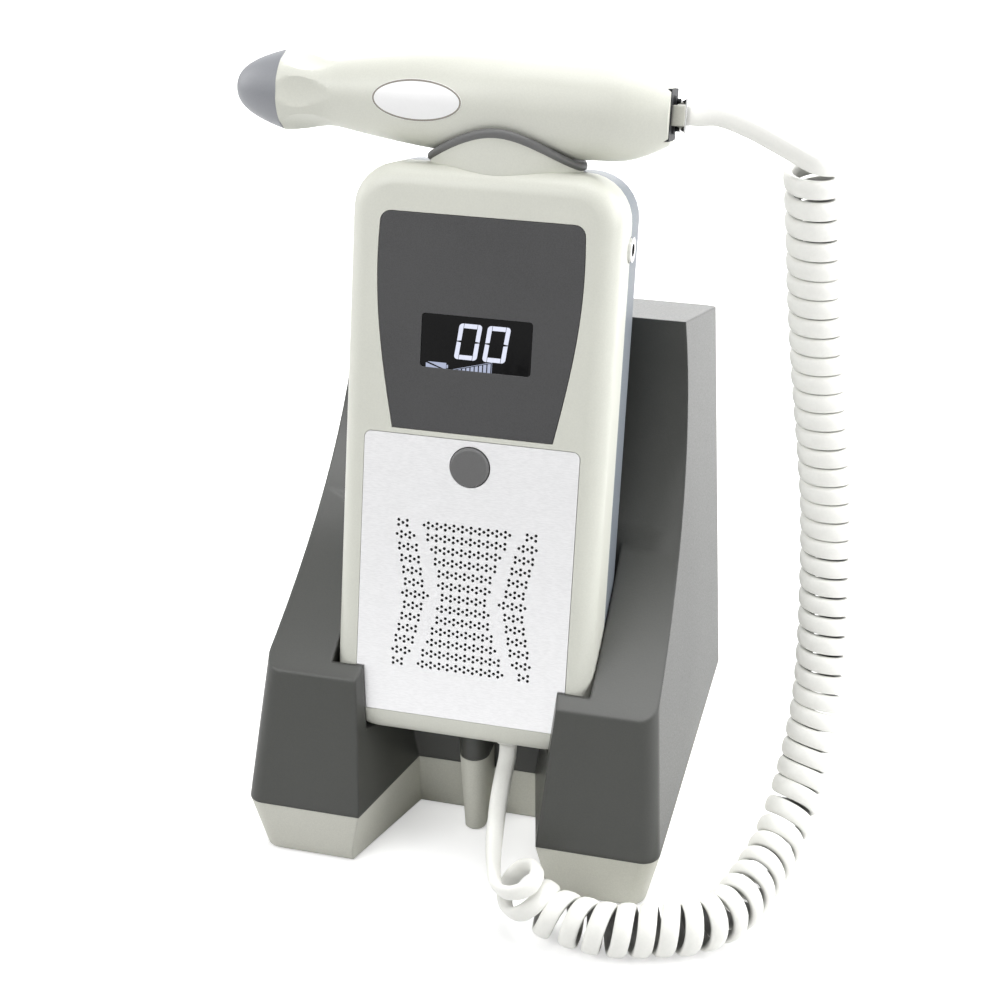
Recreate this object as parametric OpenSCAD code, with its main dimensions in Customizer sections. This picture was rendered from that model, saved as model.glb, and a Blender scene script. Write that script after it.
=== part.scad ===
// Handheld vascular doppler in its desk charging stand.
// Millimetres, +Z up, X along the probe, -Y towards the user.
// The origin is on the desk, under the middle of the stand's base.

/* [Handset] */
// Width of the handset across its sides
handset_w = 76; // [74:1:80]
// Height of the handset from bottom to top
handset_h = 164; // [160:1:175]
// Depth of the handset from front face to back face
handset_d = 32; // [31:1:36]
// Depth of the front shell, from the front face to the seam
front_d = 16; // [15:1:18]
// Wall of the handset shells
shell_wall = 2.4; // [2:0.2:2.8]
// Radius of the handset's corners seen from the front
corner_r = 13; // [10:1:16]
// Rounding of the front shell's front edges
front_edge_r = 6; // [4:1:7]
// Rounding of the rear shell's back edges
rear_edge_r = 6; // [4:1:7]
// Lean of the handset back from the vertical, in degrees
lean = 15; // [10:1:18]

/* [Display] */
// Height of the display bezel
bezel_h = 60; // [56:1:62]
// Width of the bezel at its bottom edge
bezel_bottom_w = 46; // [42:1:50]
// Extra width that the bezel gains on its way up
bezel_bulge = 12; // [8:1:14]
// Thickness of the bezel and of the speaker plate
plate_t = 1.2; // [1:0.1:1.4]
// Width of the display window
window_w = 31.5; // [26:0.5:34]
// Height of the display window
window_h = 15; // [12:0.5:18]

/* [Speaker plate] */
// Width of the speaker plate
plate_w = 62; // [58:1:64]
// Height of the speaker plate
plate_h = 82.5; // [80:0.5:84]
// Diameter of one sound hole
sound_hole_d = 0.9; // [0.8:0.05:1.1]
// Distance between two bands of sound holes
band_pitch = 3.45; // [3.3:0.05:3.7]
// Distance between two holes of a row
hole_pitch = 2.5; // [2.3:0.1:2.7]
// Bands of sound holes above the middle band, and as many below it
side_bands = 6; // [4:1:6]
// Diameter of the loudspeaker behind the plate
speaker_d = 46; // [36:1:48]

/* [Button] */
// Diameter of the power button
button_d = 11.2; // [9:0.2:12]
// Travel of the power button
button_travel = 1; // [0.6:0.1:1.2]
// Distance from the plate's top edge to the button's centre
button_drop = 7.5; // [7:0.1:9]

/* [Saddle] */
// Width of the saddle on top of the handset
saddle_w = 43; // [38:1:46]
// Depth of the saddle from front to back
saddle_d = 28; // [24:1:28]
// Thickness of the saddle's rubber liner
liner_t = 1.8; // [1.4:0.1:2.2]

/* [Probe] */
// Length of the probe from nose tip to end plate
probe_len = 124; // [118:1:132]
// Diameter of the probe at its nose collar
nose_d = 22.4; // [21:0.2:24]
// Length of the domed nose cap
nose_len = 15; // [13:0.5:17]
// Diameter of the finger waist
waist_d = 18.2; // [17.4:0.2:20]
// Diameter of the probe's barrel
barrel_d = 28.4; // [27.6:0.2:30]
// Diameter of the flat rear end
tail_d = 16; // [15:0.5:18]
// Number of finger flutes round the waist
flutes = 6; // [4:1:7]

/* [Stand] */
// Width of the stand at the seam between housing and base
stand_w = 124; // [118:1:130]
// Depth of the stand at the seam
stand_d = 111; // [106:1:116]
// Height of the seam above the desk
seam_z = 17.5; // [15:0.5:20]
// Height of the ledge on the two front legs
ledge_z = 57; // [52:1:60]
// Height of the front edge of the stand's top
top_z = 145; // [135:1:155]
// Depth of the stand's top, which falls to the rear
top_d = 52; // [44:1:56]
// Draft of the stand's outer sides, in degrees
side_draft = 5.3; // [3:0.1:6]
// Width of the opening between the legs at the seam's front
gap_front_w = 53.4; // [48:0.2:56]
// Width of the opening between the legs at its rear wall
gap_rear_w = 36.6; // [30:0.2:40]
// Wall of the stand's housing and base
stand_wall = 3; // [2.4:0.2:3.6]
// Diameter of the bore in the charging inlet
inlet_bore_d = 5.6; // [5:0.1:6]

/* [Cord] */
// Width of the flat cord
cord_w = 5.2; // [4.8:0.1:5.6]
// Thickness of the flat cord
cord_t = 2.9; // [2.6:0.1:3.1]
// Outer diameter of the curls
curl_d = 15.5; // [14.5:0.1:16.5]
// Number of curls
curls = 50; // [44:1:50]

/* [Hidden] */

$fn = 64;
eps = 0.01;
fit_gap = 0.15;
run_gap = 0.3;

// Colours
shell_beige = "#D8DAD0";
shell_grey = "#8C939B";
bezel_grey = "#4E4E4F";
plate_silver = "#EDEDEE";
housing_grey = "#50514E";
base_beige = "#C6C6BC";
cord_white = "#E8E9E3";

// Stand: derived places
base_bottom_z = 0.8;
front_y = -stand_d / 2;
rear_y = stand_d / 2;
stand_corner_r = 5;
front_slope = 12.8 / 39.7;
lean_t = tan(lean);
draft_t = tan(side_draft);
skirt_in = 4;
skirt_front_in = 1;
gap_rear_y = -22.3;
gap_front_draft = 3 / 39.7;
gap_slope = (gap_front_w - gap_rear_w) / 2 / (gap_rear_y - front_y);
gap_draft = gap_front_draft + gap_slope * front_slope;
base_gap_draft = 0.17;
top_fall = 0.32;
ledge_y = front_y + (ledge_z - seam_z) * front_slope;
ramp_depth = 76;
ramp_start = 42;
ramp_foot = 1.5;
ramp_foot_h = 0.8;
top_front_y = ledge_y + ramp_depth;
post_w = 9;
post_foot_w = 6.4;
post_x = 1.2;
post_out = 10;
post_top_z = seam_z + 9;
boss_d = 7;
screw_d = 3;
screw_hole_d = 3.2;
front_boss = [45, front_y + 16];
rear_boss = [40, rear_y - 16];
boss_h = 24;
board_z = base_bottom_z + stand_wall + 2;
charger_board_t = 1.6;
inlet_w = 9;
inlet_h = 7;
inlet_z = board_z + charger_board_t + inlet_h / 2;
inlet_len = 13;
inlet_sleeve = 4;
inlet_sleeve_d = inlet_bore_d + 2.6;
inlet_back_y = rear_y - skirt_in - stand_wall;
inlet_bore_len = 14;

// Handset: where its bottom front edge stands, and where its parts lie inside
lip_t = 4.6;
handset_z = 40.3;
handset_y = ledge_y + lip_t - (ledge_z - handset_z) * lean_t;
seat_gap = 0.4;
plate_v = 7;
plate_top_v = plate_v + plate_h;
bezel_v = plate_top_v + 1.7;
window_v = bezel_v + 25.4;
lens_drop = 0.3;
button_v = plate_top_v - button_drop;
button_proud = 1.2;
button_len = button_proud + shell_wall + 0.1;
button_flange = 1.2;
button_edge_r = 0.8;
switch_n = shell_wall + 0.1 + button_flange + button_travel + 0.3;
field_v = plate_v + 36.2;
speaker_v = field_v;
cloth_t = 0.4;
cloth_w = 46;
cloth_h = 48;
case_boss = [29, 9];
case_boss_d = 6.4;
board_n = front_d + 1;
board_t = 1.6;
board_w = 68;
board_h = handset_h - 14;
gasket_t = 1;
speaker_n = shell_wall + gasket_t;
speaker_t = 9;
lcd_w = 40;
lcd_h = 24;
lcd_t = 4;
battery_w = 40;
battery_h = 56;
battery_t = 8;
battery_v = 22;
cover_w = 50;
cover_h = 72;
cover_v = 16;
cover_t = 1.6;
cover_head_h = 0.9;
cover_screw_v = cover_v + cover_h - 5;
grip_depth = 0.5;
jack_v = 144;
jack_bore_d = 3.6;
jack_ring_d = 7;
jack_len = 14;
relief_x = 13.3;
relief_n = 9;
relief_h = 1.5;
relief_rim = 0.5;
relief_flange = 1;
contact_x = 21.5;
contact_n = handset_d - 8;
contact_r = 2.2;
contact_rim = 0.5;
pin_r = 1.6;
pin_len = 2.3;

// Probe: its axis in the handset's frame, and places along the probe from its nose tip
probe_x = -77;
probe_n = handset_d / 2;
liner_r = barrel_d / 2 + run_gap;
saddle_floor = 0.5;
saddle_x = 2;
liner_proud = 0.7;
liner_end_drop = 7;
probe_v = handset_h + liner_r + liner_t + saddle_floor;
tail_len = 14;
shoulder_x = probe_len - tail_len;
waist_x = nose_len + 14;
flute_r = 24;
flute_depth = 0.8;
flute_x = waist_x - 4;
nose_spigot = 4;
probe_wall = 2.4;
probe_board_w = waist_d - 2 * probe_wall - 0.6;
label_x = 54;
label_w = 26;
label_h = 11.2;
socket_t = 1.2;
socket_w = 10;
socket_h = 13.6;
socket_proud = 0.2;
standoff_x = 3.6;
standoff_d = 1.5;
standoff_boss_d = 3;
standoff_boss_h = 0.6;
plug_start = probe_len + socket_proud;
plug_len = 3.4;
plug_h = 5.4;
plug_w = 7;
flange_t = 0.5;
flange_h = 9.2;
flange_w = 5;

// Points of a list of 2-D points turned into millimetres of a half ellipse or arc
function arc(cx, cy, rx, ry, from, to, steps) =
    [for (i = [0:steps]) let (a = from + (to - from) * i / steps) [cx + rx * cos(a), cy + ry * sin(a)]];

function smooth(t) = t <= 0 ? 0 : t >= 1 ? 1 : t * t * (3 - 2 * t);

module rounded_rect(w, h, r) {
    square([w - 2 * r, h], center = true);
    square([w, h - 2 * r], center = true);
    for (x = [-1, 1])
        for (y = [-1, 1])
            translate([x * (w / 2 - r), y * (h / 2 - r)])
                circle(r);
}

// A flat outline drawn in X and height, given depth n0 to n0 + depth behind the front face
module from_front(n0, depth) {
    translate([0, n0 + depth, 0])
        rotate([90, 0, 0])
            linear_extrude(depth)
                children();
}

module on_handset() {
    translate([0, handset_y, handset_z])
        rotate([-lean, 0, 0])
            children();
}

// Along the probe: the child is drawn with its axis on +Z from the nose tip
module along_probe(at = 0) {
    on_handset()
        translate([probe_x + at, probe_n, probe_v])
            rotate([0, 90, 0])
                children();
}

// Stand

module stand_slab(z, half_w, y0, y1) {
    r = stand_corner_r;
    translate([0, 0, z])
        linear_extrude(eps)
            for (x = [-1, 1])
                for (y = [y0 + r, y1 - r])
                    translate([x * (half_w - r), y])
                        circle(r, $fn = 32);
}

// The leaning block that the housing is cut from
module stand_block(inset = 0) {
    rise = top_z + 20 - seam_z;
    hull() {
        stand_slab(seam_z - eps * inset, stand_w / 2 - inset, front_y + inset, rear_y - inset);
        stand_slab(top_z + 20, stand_w / 2 - rise * draft_t - inset,
            front_y + rise * front_slope + inset, rear_y + rise * lean_t - inset);
    }
}

// Side view of the housing: leg front, ledge, the ramp that sweeps up and back, and the falling top
module stand_profile() {
    steps = 14;
    s0 = sin(ramp_start);
    c0 = cos(ramp_start);
    ramp = [for (i = [0:steps])
        let (a = ramp_start + (90 - ramp_start) * i / steps)
        [ledge_y + ramp_foot + (ramp_depth - ramp_foot) * (sin(a) - s0) / (1 - s0),
        ledge_z + ramp_foot_h + (top_z - ledge_z - ramp_foot_h) * (c0 - cos(a)) / c0]];
    back_y = rear_y + (top_z - seam_z) * lean_t + 20;
    polygon(concat(
        [[front_y - 5, seam_z], [front_y - 5, ledge_z], [ledge_y, ledge_z]],
        ramp,
        [[top_front_y + top_d + 20, top_z - (top_d + 20) * top_fall], [back_y + 20, seam_z]]));
}

module along_x(width) {
    translate([-width / 2, 0, 0])
        rotate([90, 0, 90])
            linear_extrude(width)
                children();
}

// A wedge between two heights, its half widths given at the stand's front and at the rear wall
module gap_wedge(z0, front0, rear0, z1, front1, rear1, inset = 0) {
    reach = 12;
    hull()
        for (e = [[z0, front0 + inset, rear0 + inset], [z1, front1 + inset, rear1 + inset]]) {
            mouth = e[1] + reach * (e[1] - e[2]) / (gap_rear_y - front_y);
            translate([0, 0, e[0]])
                linear_extrude(eps)
                    polygon([[-mouth, front_y - reach], [mouth, front_y - reach],
                        [e[2], gap_rear_y + inset], [-e[2], gap_rear_y + inset]]);
        }
}

// The opening between the legs: it splays upwards above the seam and downwards below it
module leg_gap(z1, inset = 0) {
    z0 = seam_z - 1;
    f = gap_front_w / 2;
    r = gap_rear_w / 2;
    gap_wedge(z0, f - gap_draft, r - gap_draft,
        z1, f + (z1 - seam_z) * gap_draft, r + (z1 - seam_z) * gap_draft, inset);
}

module base_gap() {
    f = gap_front_w / 2;
    r = gap_rear_w / 2;
    gap_wedge(-1, f + (seam_z + 1) * base_gap_draft, r, seam_z + eps, f, r);
}

// The leaning pocket that holds the handset
module handset_pocket(inset = 0) {
    w = handset_w + 2 * (seat_gap + inset);
    on_handset()
        from_front(-seat_gap - inset, handset_d + 2 * (seat_gap + inset))
            translate([0, handset_h / 2])
                rounded_rect(w, handset_h + 2 * inset, corner_r + seat_gap + inset);
}

// Plan of the small post on the rear wall, its front kept in line at any width
module post_plan(w) {
    translate([post_x, gap_rear_y - post_out + w / 2])
        circle(d = w);
    translate([post_x - w / 2, gap_rear_y - post_out + w / 2])
        square([w, post_out - w / 2 + 4]);
}

module rear_post(z0, z1) {
    translate([0, 0, z0])
        linear_extrude(z1 - z0)
            post_plan(post_w);
}

// Lower half of the post, narrower at its foot
module post_foot() {
    hull() {
        translate([0, 0, base_bottom_z])
            linear_extrude(eps)
                post_plan(post_foot_w);
        translate([0, 0, post_top_z - eps])
            linear_extrude(eps)
                post_plan(post_w);
    }
}

module stand_outer(inset = 0) {
    intersection() {
        stand_block(inset);
        along_x(stand_w + 20)
            if (inset > 0)
                offset(delta = -inset) stand_profile();
            else
                stand_profile();
    }
}

module stand_bosses(d, z0, h) {
    for (side = [-1, 1])
        for (p = [front_boss, rear_boss])
            translate([side * p.x, p.y, z0])
                cylinder(h = h, d = d);
}

module boss_ribs() {
    for (side = [-1, 1])
        for (p = [front_boss, rear_boss])
            translate([side > 0 ? p.x : -stand_w / 2, p.y - 1, seam_z])
                cube([stand_w / 2 - p.x, 2, boss_h]);
}

module stand_housing() {
    color(housing_grey)
        difference() {
            union() {
                difference() {
                    stand_outer();
                    difference() {
                        stand_outer(stand_wall);
                        handset_pocket(stand_wall);
                        leg_gap(handset_z + 40, stand_wall);
                    }
                    translate([0, 0, seam_z - 1])
                        linear_extrude(1 + stand_wall + 1)
                            stand_cavity_outline();
                }
                intersection() {
                    union() {
                        stand_bosses(boss_d, seam_z, boss_h);
                        boss_ribs();
                    }
                    stand_block(1);
                }
                intersection() {
                    rear_post(post_top_z, handset_z + 10);
                    stand_block(1);
                }
            }
            handset_pocket();
            leg_gap_less_post();
            rear_post(seam_z - 1, post_top_z);
            stand_bosses(screw_d, seam_z - 1, boss_h - 4);
            pin_holes();
        }
}

// Where the housing is open towards the base
module stand_cavity_outline() {
    difference() {
        offset(delta = -stand_wall)
            stand_plan();
        offset(delta = stand_wall)
            gap_plan();
    }
}

module stand_plan() {
    translate([0, (front_y + rear_y) / 2])
        rounded_rect(stand_w, stand_d, stand_corner_r);
}

module gap_plan() {
    polygon([[-gap_front_w / 2 - 2, front_y - 8], [gap_front_w / 2 + 2, front_y - 8],
        [gap_rear_w / 2, gap_rear_y], [-gap_rear_w / 2, gap_rear_y]]);
}

module leg_gap_less_post() {
    difference() {
        leg_gap(handset_z + 40);
        rear_post(seam_z - 2, handset_z + 50);
    }
}

// Blind holes in the pocket's floor for the charging pins
module pin_holes() {
    on_handset()
        for (x = [-contact_x, contact_x])
            translate([x, contact_n, -pin_len - 0.1])
                cylinder(h = pin_len + 2, r = pin_r + fit_gap);
}

module base_block(inset = 0) {
    hull() {
        stand_slab(seam_z - eps, stand_w / 2 - inset, front_y + inset, rear_y - inset);
        stand_slab(base_bottom_z, stand_w / 2 - skirt_in - inset, front_y + skirt_front_in + inset,
            rear_y - skirt_in - inset);
    }
}

module base_cavity() {
    translate([0, 0, base_bottom_z + stand_wall])
        linear_extrude(seam_z)
            difference() {
                offset(delta = -skirt_in - stand_wall)
                    stand_plan();
                offset(delta = stand_wall + 1)
                    gap_plan();
                translate([post_x - post_w / 2 - 2, gap_rear_y - 4])
                    square([post_w + 4, 8]);
            }
}

module stand_base() {
    color(base_beige)
        difference() {
            union() {
                difference() {
                    base_block();
                    base_cavity();
                    base_gap();
                }
                post_foot();
                stand_bosses(boss_d + 3, base_bottom_z, seam_z - base_bottom_z);
                board_posts();
            }
            stand_bosses(screw_hole_d, 0, seam_z + 1);
            stand_bosses(screw_d + 3, 0, base_bottom_z + 3);
            inlet_hole();
        }
}

module inlet_hole() {
    translate([0, inlet_back_y - 1, inlet_z])
        rotate([-90, 0, 0])
            cylinder(h = inlet_len, d = inlet_sleeve_d + 0.8);
}

module board_posts() {
    for (x = [-18, 18])
        for (y = [0, 38])
            translate([x, y, base_bottom_z])
                cylinder(h = board_z - base_bottom_z, d = 6);
}

module stand_sole() {
    color("#3A3A3A")
        difference() {
            linear_extrude(base_bottom_z)
                difference() {
                    offset(delta = -skirt_in - 3)
                        stand_plan();
                    offset(delta = 5)
                        gap_plan();
                }
            stand_bosses(screw_d + 4, -1, base_bottom_z + 2);
        }
}

module screw(length, d, head_d, head_h) {
    translate([0, 0, -head_h * 0.4])
        cylinder(h = length + head_h * 0.4, d = d);
    translate([0, 0, -head_h])
        difference() {
            cylinder(h = head_h, d = head_d);
            translate([0, 0, -eps])
                cylinder(h = head_h * 0.6, d = head_d * 0.5, $fn = 6);
        }
}

module stand_screws() {
    color("silver")
        for (side = [-1, 1])
            for (p = [front_boss, rear_boss])
                translate([side * p.x, p.y, base_bottom_z + 3])
                    screw(seam_z + 8, screw_d - 0.2, screw_d + 2.6, 2);
}

module charging_board() {
    color("#2F6B45")
        translate([-24, -6, board_z])
            cube([48, inlet_back_y - 1.5 + 6, charger_board_t]);
    color("#333333")
        for (x = [-14, 4])
            translate([x, 4, board_z + charger_board_t - eps])
                cube([10, 7, 2]);
}

module power_inlet() {
    color("#222222")
        difference() {
            union() {
                translate([-inlet_w / 2, inlet_back_y - inlet_len, inlet_z - inlet_h / 2])
                    cube([inlet_w, inlet_len, inlet_h]);
                translate([0, inlet_back_y - 1, inlet_z])
                    rotate([-90, 0, 0])
                        cylinder(h = inlet_sleeve + 1, d = inlet_sleeve_d);
            }
            translate([0, inlet_back_y + inlet_sleeve - inlet_bore_len, inlet_z])
                rotate([-90, 0, 0])
                    cylinder(h = inlet_bore_len + 1, d = inlet_bore_d);
        }
}

module contact_pins() {
    color("gold")
        on_handset()
            for (x = [-contact_x, contact_x])
                translate([x, contact_n, -pin_len])
                    cylinder(h = pin_len, r = pin_r);
}

// Handset

// One corner of a shell half, turned round its own axis from the seam side (0) to the face (h)
module shell_corner(r, h, edge_r) {
    rotate_extrude($fn = 32)
        polygon(concat([[0, 0], [r, 0]], arc(r - edge_r, h - edge_r, edge_r, edge_r, 0, 90, 5), [[0, h]]));
}

module shell_corners(inset, h, edge_r) {
    r = corner_r - inset;
    for (x = [-1, 1])
        for (v = [inset + r, handset_h - inset - r])
            translate([x * (handset_w / 2 - inset - r), 0, v])
                rotate([90, 0, 0])
                    shell_corner(r, h, edge_r);
}

// Front half of the handset as a solid, its front edges rounded; past reaches over the seam
module front_form(inset = 0, past = 0) {
    translate([0, front_d + past, 0])
        hull()
            shell_corners(inset, front_d + past - inset, front_edge_r - inset);
}

module rear_form(inset = 0, past = 0) {
    translate([0, front_d - past, 0])
        hull()
            mirror([0, 1, 0])
                shell_corners(inset, handset_d - front_d + past - inset, rear_edge_r - inset);
}

// The bezel's outline: narrow at the bottom, its sides bowed out, two round corners at the top
function bezel_half(t) = bezel_bottom_w / 2 + bezel_bulge / 2 * sin(t * 115);

module bezel_outline(grow = 0) {
    steps = 12;
    r = 3;
    body_h = bezel_h - r;
    right = [for (i = [0:steps])
        let (t = i / steps) [bezel_half(t * body_h / bezel_h) + grow, bezel_v - grow + t * (body_h + grow)]];
    top_half = bezel_half(body_h / bezel_h) + grow;
    corner = arc(top_half - r - grow, bezel_v + body_h, r + grow, r + grow, 0, 90, 6);
    half = concat(right, corner);
    polygon(concat(half, [for (i = [len(half) - 1:-1:0]) [-half[i].x, half[i].y]]));
}

module plate_outline(grow = 0) {
    translate([0, plate_v + plate_h / 2])
        rounded_rect(plate_w + 2 * grow, plate_h + 2 * grow, 2 + grow);
}

module case_bosses(d, n0, n1) {
    for (x = [-1, 1])
        for (v = [case_boss.y, handset_h - case_boss.y])
            translate([x * case_boss.x, n0, v])
                rotate([-90, 0, 0])
                    cylinder(h = n1 - n0, d = d);
}

module jack_hole(d) {
    translate([0, front_d, jack_v])
        rotate([0, 90, 0])
            cylinder(h = handset_w, d = d);
}

module relief_outline(grow = 0) {
    rim = 2 * (relief_rim + grow);
    rounded_rect(cord_w + rim, cord_t + rim, 1.2 + grow);
}

module front_shell() {
    color(shell_beige)
        on_handset()
            difference() {
                union() {
                    difference() {
                        front_form();
                        front_form(shell_wall, 1);
                    }
                    case_bosses(case_boss_d, shell_wall - 1, front_d + 1);
                }
                from_front(-1, plate_t + 1)
                    bezel_outline(fit_gap);
                from_front(-1, plate_t + 1)
                    plate_outline(fit_gap);
                from_front(-1, plate_t + cloth_t + 0.05 + 1)
                    cloth_outline(fit_gap);
                from_front(-1, shell_wall + 3)
                    translate([0, window_v])
                        square([window_w + 4, window_h + 4], center = true);
                translate([0, -1, button_v])
                    rotate([-90, 0, 0])
                        cylinder(h = shell_wall + 3, d = button_d + 2 * run_gap);
                translate([0, -1, speaker_v])
                    rotate([-90, 0, 0])
                        cylinder(h = shell_wall + 3, d = speaker_d - 5);
                case_bosses(2.9, 6, front_d + 2);
                jack_hole(jack_ring_d + 2 * fit_gap);
                translate([relief_x, relief_n, -1])
                    linear_extrude(shell_wall + 3)
                        relief_outline(fit_gap);
            }
}

module rear_shell() {
    color(shell_grey)
        on_handset()
            difference() {
                union() {
                    difference() {
                        rear_form();
                        rear_form(shell_wall, 1);
                    }
                    case_bosses(case_boss_d, board_n + board_t, handset_d - shell_wall + 1);
                    cover_boss(6, handset_d - shell_wall - 4.6, handset_d - shell_wall + 0.5);
                }
                cover_boss(2.9, handset_d - shell_wall - 4, handset_d);
                cover_recess();
                case_bosses(3.3, board_n, handset_d + 1);
                case_bosses(6, handset_d - 2.4, handset_d + 1);
                jack_hole(jack_ring_d + 2 * fit_gap);
                contact_recess();
            }
}

module cover_outline(grow = 0) {
    translate([0, cover_v + cover_h / 2])
        rounded_rect(cover_w + 2 * grow, cover_h + 2 * grow, 4);
}

module cover_recess() {
    from_front(handset_d - cover_t - fit_gap, cover_t + 1)
        cover_outline(fit_gap);
    from_front(handset_d - shell_wall - 1, shell_wall + 2)
        translate([0, battery_v + battery_h / 2])
            rounded_rect(battery_w + 2, battery_h + 2, 2);
}

module cover_boss(d, n0, n1) {
    translate([0, n0, cover_screw_v])
        rotate([-90, 0, 0])
            cylinder(h = n1 - n0, d = d);
}

module contact_recess() {
    for (x = [-contact_x, contact_x])
        translate([x, contact_n, -1]) {
            cylinder(h = shell_wall + 3, r = contact_r + fit_gap);
            translate([0, 0, shell_wall + 1])
                cylinder(h = 1.2, r = contact_r + contact_rim + fit_gap);
        }
}

module battery_cover() {
    color(shell_grey)
        on_handset()
            difference() {
                from_front(handset_d - cover_t, cover_t)
                    cover_outline();
                for (k = [0:5])
                    from_front(handset_d - grip_depth, 1)
                        translate([0, cover_v + 8 + 2.4 * k])
                            square([18, 1], center = true);
                cover_boss(3.1, handset_d - cover_t - 1, handset_d + 1);
                cover_boss(5, handset_d - cover_head_h - 0.2, handset_d + 1);
            }
}

module battery_cover_screw() {
    color("silver")
        on_handset()
            translate([0, handset_d - 0.1 - cover_head_h, cover_screw_v])
                rotate([90, 0, 0])
                    screw(4.8, 2.7, 4.6, cover_head_h);
}

module case_screws() {
    color("silver")
        on_handset()
            for (x = [-1, 1])
                for (v = [case_boss.y, handset_h - case_boss.y])
                    translate([x * case_boss.x, handset_d - 2.4, v])
                        rotate([90, 0, 0])
                            screw(handset_d - 12, 2.7, 5.4, 1.8);
}

module display_bezel() {
    color(bezel_grey)
        on_handset()
            difference() {
                from_front(0, plate_t)
                    bezel_outline();
                from_front(-1, plate_t + 2)
                    translate([0, window_v])
                        rounded_rect(window_w, window_h, 1);
            }
}

module display_lens() {
    color("#151515")
        on_handset() {
            from_front(lens_drop, plate_t)
                translate([0, window_v])
                    rounded_rect(window_w - 2 * fit_gap, window_h - 2 * fit_gap, 0.8);
            from_front(plate_t, 0.8)
                translate([0, window_v])
                    rounded_rect(window_w + 3, window_h + 3, 1);
        }
}

module lcd_module() {
    color("#2A2A2A")
        on_handset() {
            from_front(shell_wall, lcd_t)
                translate([0, window_v])
                    rounded_rect(lcd_w, lcd_h, 1);
            from_front(shell_wall + lcd_t - eps, board_n - shell_wall - lcd_t - 0.3)
                for (x = [-1, 1])
                    translate([x * (lcd_w / 2 - 2), window_v])
                        square([3, 12], center = true);
        }
}

// Sound holes: a band has pairs of holes and single holes in turn, half a pitch apart. The
// middle field is narrow at its waist, and a curved column of short bands stands on either side.
field_reach = [5, 6, 6, 7, 8, 9, 10];
field_shift = [1, 1, 0, 1, 1, 1, 1];
column_reach = [3, 2, 2, 2, 2, 2, 1];
column_shift = [0, 0, 0, 0, 0, 1, 1];
function column_x(k) = 14.3 + 0.52 * k + 0.037 * k * k;

module sound_band(x, v, reach, shift) {
    for (i = [-reach:reach])
        if ((i + shift) % 2 == 0)
            for (dv = [-0.75, 0.75])
                translate([x + i * hole_pitch / 2, v + dv])
                    circle(d = sound_hole_d, $fn = 16);
        else
            translate([x + i * hole_pitch / 2, v])
                circle(d = sound_hole_d, $fn = 16);
}

module sound_holes() {
    for (band = [-side_bands:side_bands]) {
        k = abs(band);
        v = field_v + band * band_pitch;
        sound_band(0, v, field_reach[k], field_shift[k]);
        for (side = [-1, 1])
            sound_band(side * column_x(k), v, column_reach[k], column_shift[k]);
    }
}

module speaker_plate() {
    color(plate_silver)
        on_handset()
            from_front(0, plate_t)
                difference() {
                    plate_outline();
                    sound_holes();
                    translate([0, button_v])
                        circle(d = button_d + 2 * run_gap);
                }
}

module cloth_outline(grow = 0) {
    translate([0, field_v])
        rounded_rect(cloth_w + 2 * grow, cloth_h + 2 * grow, 3 + grow);
}

module speaker_cloth() {
    color("#121212")
        on_handset()
            from_front(plate_t, cloth_t)
                cloth_outline();
}

module speaker_gasket() {
    color("#222222")
        on_handset()
            translate([0, shell_wall, speaker_v])
                rotate([-90, 0, 0])
                    difference() {
                        cylinder(h = gasket_t, d = speaker_d);
                        translate([0, 0, -1])
                            cylinder(h = gasket_t + 2, d = speaker_d - 5);
                    }
}

module speaker() {
    color("#3B3B3B")
        on_handset()
            translate([0, speaker_n, speaker_v])
                rotate([-90, 0, 0]) {
                    difference() {
                        cylinder(h = 3, d = speaker_d);
                        translate([0, 0, -eps])
                            cylinder(h = 2, d1 = speaker_d - 5, d2 = speaker_d * 0.4);
                    }
                    translate([0, 0, 3 - eps])
                        cylinder(h = 3, d1 = speaker_d - 8, d2 = speaker_d * 0.55);
                    translate([0, 0, 6 - 2 * eps])
                        cylinder(h = speaker_t - 6, d = speaker_d * 0.5);
                }
}

module main_board() {
    color("#2F6B45")
        on_handset() {
            difference() {
                from_front(board_n, board_t)
                    difference() {
                        translate([0, handset_h / 2])
                            rounded_rect(board_w, board_h, 6);
                        translate([handset_w / 2 - shell_wall - jack_len - 0.6, jack_v - 4])
                            square([jack_len + 2, 8]);
                    }
                case_bosses(3.2, board_n - 1, board_n + board_t + 1);
            }
            color("#333333")
                from_front(board_n + board_t - eps, 2)
                    for (v = [100, 118])
                        translate([0, v])
                            square([12, 12], center = true);
        }
}

module button_switch() {
    color("#222222")
        on_handset()
            from_front(switch_n, board_n - switch_n)
                translate([0, button_v])
                    square([7, 7], center = true);
}

module power_button() {
    color("#6E6E6E")
        on_handset()
            translate([0, -button_proud, button_v])
                rotate([-90, 0, 0])
                    union() {
                        rotate_extrude()
                            polygon(concat([[0, button_len + eps], [0, 0]],
                                arc(button_d / 2 - button_edge_r, button_edge_r, button_edge_r, button_edge_r,
                                    -90, 0, 4),
                                [[button_d / 2, button_len + eps]]));
                        translate([0, 0, button_len])
                            cylinder(h = button_flange, d = button_d + 2 * button_flange);
                    }
}

module battery_pack() {
    color("#2E5FA3")
        on_handset()
            from_front(handset_d - cover_t - 0.3 - battery_t, battery_t)
                translate([0, battery_v + battery_h / 2])
                    rounded_rect(battery_w, battery_h, 3);
}

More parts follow.
